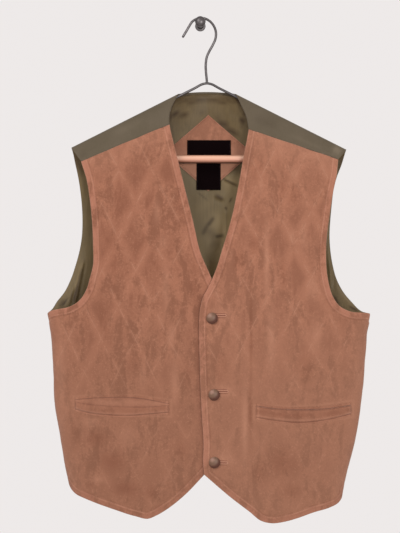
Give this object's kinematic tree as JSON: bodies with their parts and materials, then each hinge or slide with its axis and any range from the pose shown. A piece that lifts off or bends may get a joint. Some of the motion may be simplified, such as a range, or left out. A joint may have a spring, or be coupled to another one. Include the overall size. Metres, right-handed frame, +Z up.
{
  "type": "quilted suede vest on a wire hanger and wall peg",
  "caption": "Sleeveless quilted suede vest with a V neck, welt pockets and a buttoned front, hung flat on a wire hanger from a round wall peg.",
  "frame": {"origin": "centre of the peg's round face on the wall, which holds the hanger and the vest", "axes": "+Z up, -Y out of the vest's front towards the viewer, +X to the viewer's right, which is the wearer's left; the wall is the plane Y = 0"},
  "size_m": [0.5158, 0.1069, 0.8045],
  "materials": {
    "suede": "brushed split suede, quilted in tall diamonds",
    "suede_edge": "turned and stitched suede, a little lighter",
    "back_cloth": "plain olive-taupe lining cloth",
    "satin": "olive satin with soft wrinkles",
    "woven_black": "plain black woven label, no words",
    "button_bronze": "antique brown bronze, worn on the dome",
    "wire_grey": "satin grey coated wire",
    "bar_copper": "satin copper coated tube",
    "peg_grey": "satin grey"
  },
  "bodies": {
    "root": {"front_right": "suede", "front_left": "suede", "back": "back_cloth", "back_lining": "satin", "neck_patch": "suede_edge", "main_label": "woven_black", "size_label": "woven_black", "welt_right": "suede_edge", "welt_left": "suede_edge", "button_top": "button_bronze", "button_middle": "button_bronze", "button_bottom": "button_bronze", "hanger_hook": "wire_grey", "hanger_arms": "wire_grey", "hanger_bar": "bar_copper", "wall_peg": "peg_grey"}
  },
  "joints": []
}
